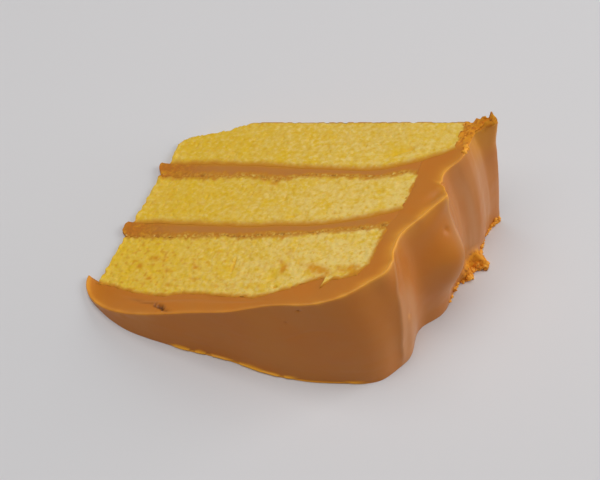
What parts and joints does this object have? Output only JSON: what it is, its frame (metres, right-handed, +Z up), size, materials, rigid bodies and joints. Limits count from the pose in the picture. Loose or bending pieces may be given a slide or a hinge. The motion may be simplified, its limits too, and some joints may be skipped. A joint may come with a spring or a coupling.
{
  "type": "layer cake slice",
  "caption": "Slice of yellow layer cake with caramel filling and thick caramel icing, lying on one cut face; food for a table or plate.",
  "frame": {"origin": "on the floor plane, under the middle of the slice's box", "axes": "+Z up, +X from the slice's tip to its iced side, +Y from the cake's iced top to its base"},
  "size_m": [0.117, 0.0842, 0.0515],
  "materials": {
    "sponge": "open yellow crumb, dull, standing in for baked sponge",
    "filling": "set caramel with crumbs in it, low gloss",
    "icing": "smooth set caramel icing, soft satin"
  },
  "bodies": {
    "root": {"sponge_base": "sponge", "sponge_middle": "sponge", "sponge_top": "sponge", "filling_lower": "filling", "filling_upper": "filling", "icing": "icing"}
  },
  "joints": []
}
